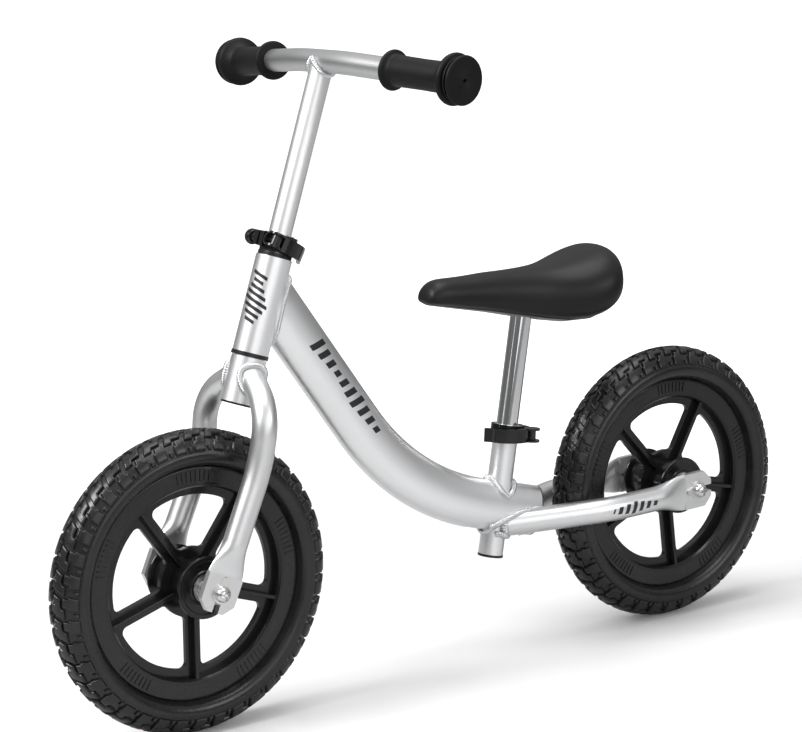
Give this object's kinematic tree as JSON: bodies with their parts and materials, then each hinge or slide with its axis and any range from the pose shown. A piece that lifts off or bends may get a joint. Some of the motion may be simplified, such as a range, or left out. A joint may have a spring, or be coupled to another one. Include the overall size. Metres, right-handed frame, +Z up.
{
  "type": "balance bike",
  "caption": "Child's balance bike with an aluminium frame, foam tyres, sliding handlebar and saddle held by quick-release clamps, and free-turning fork and wheels.",
  "frame": {"origin": "on the ground midway between the two axles, in the bike's mid-plane", "axes": "+X forwards, +Y to the rider's left, +Z up"},
  "size_m": [0.8806, 0.3926, 0.6362],
  "materials": {
    "satin_aluminium": "satin bead-blasted silver",
    "bright_steel": "bright turned steel",
    "zinc_steel": "zinc-plated steel",
    "chrome": "polished chrome",
    "black_steel": "black oxide",
    "black_anodised": "semi-gloss black",
    "black_nylon": "matt black nylon",
    "gloss_black_plastic": "glossy black moulded plastic",
    "foam_tyre": "black closed-cell foam with a moulded skin",
    "black_rubber": "soft black rubber",
    "black_leathercloth": "smooth black leathercloth over foam"
  },
  "bodies": {
    "frame": {"main_tube": "satin_aluminium", "main_tube_end_cap": "black_nylon", "head_tube": "satin_aluminium", "headset_lower_bush": "black_nylon", "headset_upper_bush": "black_nylon", "seat_tube": "satin_aluminium", "seat_tube_plug": "black_nylon", "chainstay_left": "satin_aluminium", "chainstay_right": "satin_aluminium", "seat_clamp_collar": "black_anodised", "seat_clamp_bolt": "black_steel", "seat_clamp_nut": "black_anodised", "seat_clamp_cam_seat": "black_nylon", "rear_axle": "zinc_steel", "rear_axle_spacers": "zinc_steel", "rear_axle_washers": "zinc_steel", "rear_axle_bolts": "zinc_steel"},
    "fork": {"steerer_tube": "bright_steel", "fork_crown_tube": "satin_aluminium", "fork_crown_plug": "black_nylon", "fork_blade_left": "satin_aluminium", "fork_blade_right": "satin_aluminium", "headset_lock_ring": "black_anodised", "stem_clamp_collar": "black_anodised", "stem_clamp_bolt": "black_steel", "stem_clamp_nut": "black_anodised", "stem_clamp_cam_seat": "black_nylon", "front_axle": "zinc_steel", "front_axle_spacers": "zinc_steel", "front_axle_washers": "zinc_steel", "front_axle_bolts": "zinc_steel"},
    "handlebar": {"stem_post": "satin_aluminium", "crossbar": "satin_aluminium", "grip_left": "black_rubber", "grip_right": "black_rubber"},
    "front_wheel_body": {"front_tyre": "foam_tyre", "front_wheel": "gloss_black_plastic", "front_wheel_bearings": "zinc_steel"},
    "rear_wheel_body": {"rear_tyre": "foam_tyre", "rear_wheel": "gloss_black_plastic", "rear_wheel_bearings": "zinc_steel"},
    "saddle": {"seat_post": "chrome", "saddle_plate": "black_steel", "saddle_screws": "black_steel", "saddle_base": "black_nylon", "saddle_pad": "black_leathercloth"},
    "stem_lever": {"stem_clamp_lever": "black_anodised"},
    "seat_lever": {"seat_clamp_lever": "black_anodised"}
  },
  "joints": [
    {"name": "steering", "type": "hinge", "parent": "frame", "child": "fork", "pos_m": [0.2174, 0, 0.3545], "axis": [-0.3305, 0, 0.9438], "continuous": true},
    {"name": "handlebar_height", "type": "slide", "parent": "fork", "child": "handlebar", "axis": [-0.3305, 0, 0.9438], "range_m": [-0.05, 0.05]},
    {"name": "front_wheel_spin", "type": "hinge", "parent": "fork", "child": "front_wheel_body", "pos_m": [0.2943, 0, 0.146], "axis": [0, 1, 0], "continuous": true},
    {"name": "rear_wheel_spin", "type": "hinge", "parent": "frame", "child": "rear_wheel_body", "pos_m": [-0.2943, 0, 0.146], "axis": [0, 1, 0], "continuous": true},
    {"name": "saddle_height", "type": "slide", "parent": "frame", "child": "saddle", "axis": [-0.1865, 0, 0.9825], "range_m": [-0.05, 0.04]},
    {"name": "stem_lever_open", "type": "hinge", "parent": "fork", "child": "stem_lever", "pos_m": [0.19849, 0.0215, 0.46114], "axis": [0.4894, 0, -0.8721], "range_deg": [0, 150]},
    {"name": "seat_lever_open", "type": "hinge", "parent": "frame", "child": "seat_lever", "pos_m": [-0.1002, 0.0215, 0.22979], "axis": [-0.0828, 0, 0.9966], "range_deg": [0, 150]}
  ]
}
